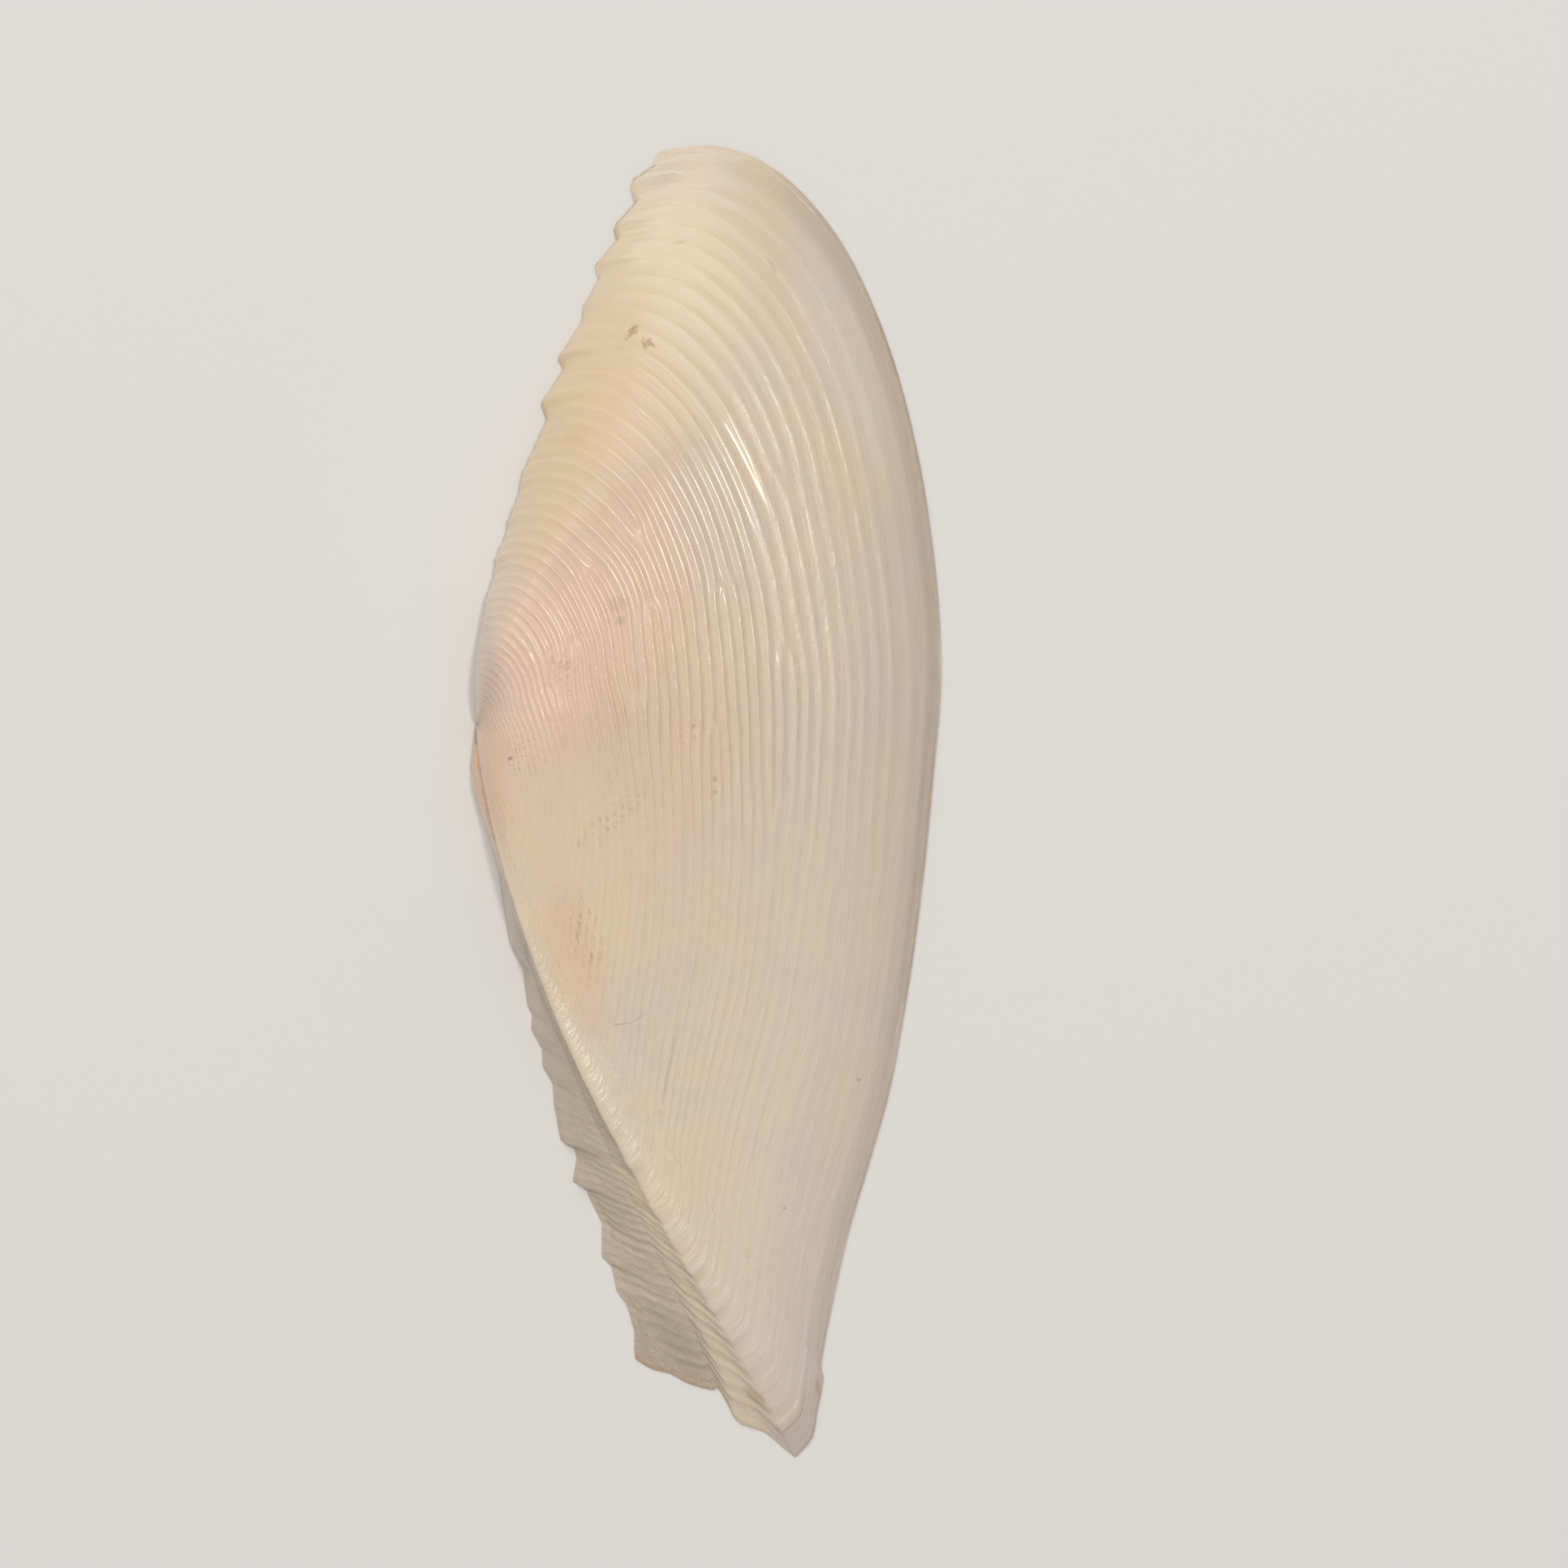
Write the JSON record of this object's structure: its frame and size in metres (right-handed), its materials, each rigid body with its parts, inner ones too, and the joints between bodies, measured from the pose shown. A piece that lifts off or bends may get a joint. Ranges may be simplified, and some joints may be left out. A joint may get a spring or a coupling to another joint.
{
  "type": "tellin shell valve",
  "caption": "Single right valve of a long beaked tellin, ribbed by fine growth ridges, with saw-toothed hinge margins, a keel and a notched lower end, lying on its rim.",
  "frame": {"origin": "under the middle of the valve, on the plane of its rim", "axes": "+X from the hinge side to the belly edge, +Y towards the round front end, +Z out of the valve's outer face"},
  "size_m": [0.0268, 0.075, 0.0065],
  "materials": {
    "shell": "glossy ivory shell, peach over the beak, greyer behind the keel, satin in the grooves"
  },
  "bodies": {
    "root": {"right_valve": "shell"}
  },
  "joints": []
}
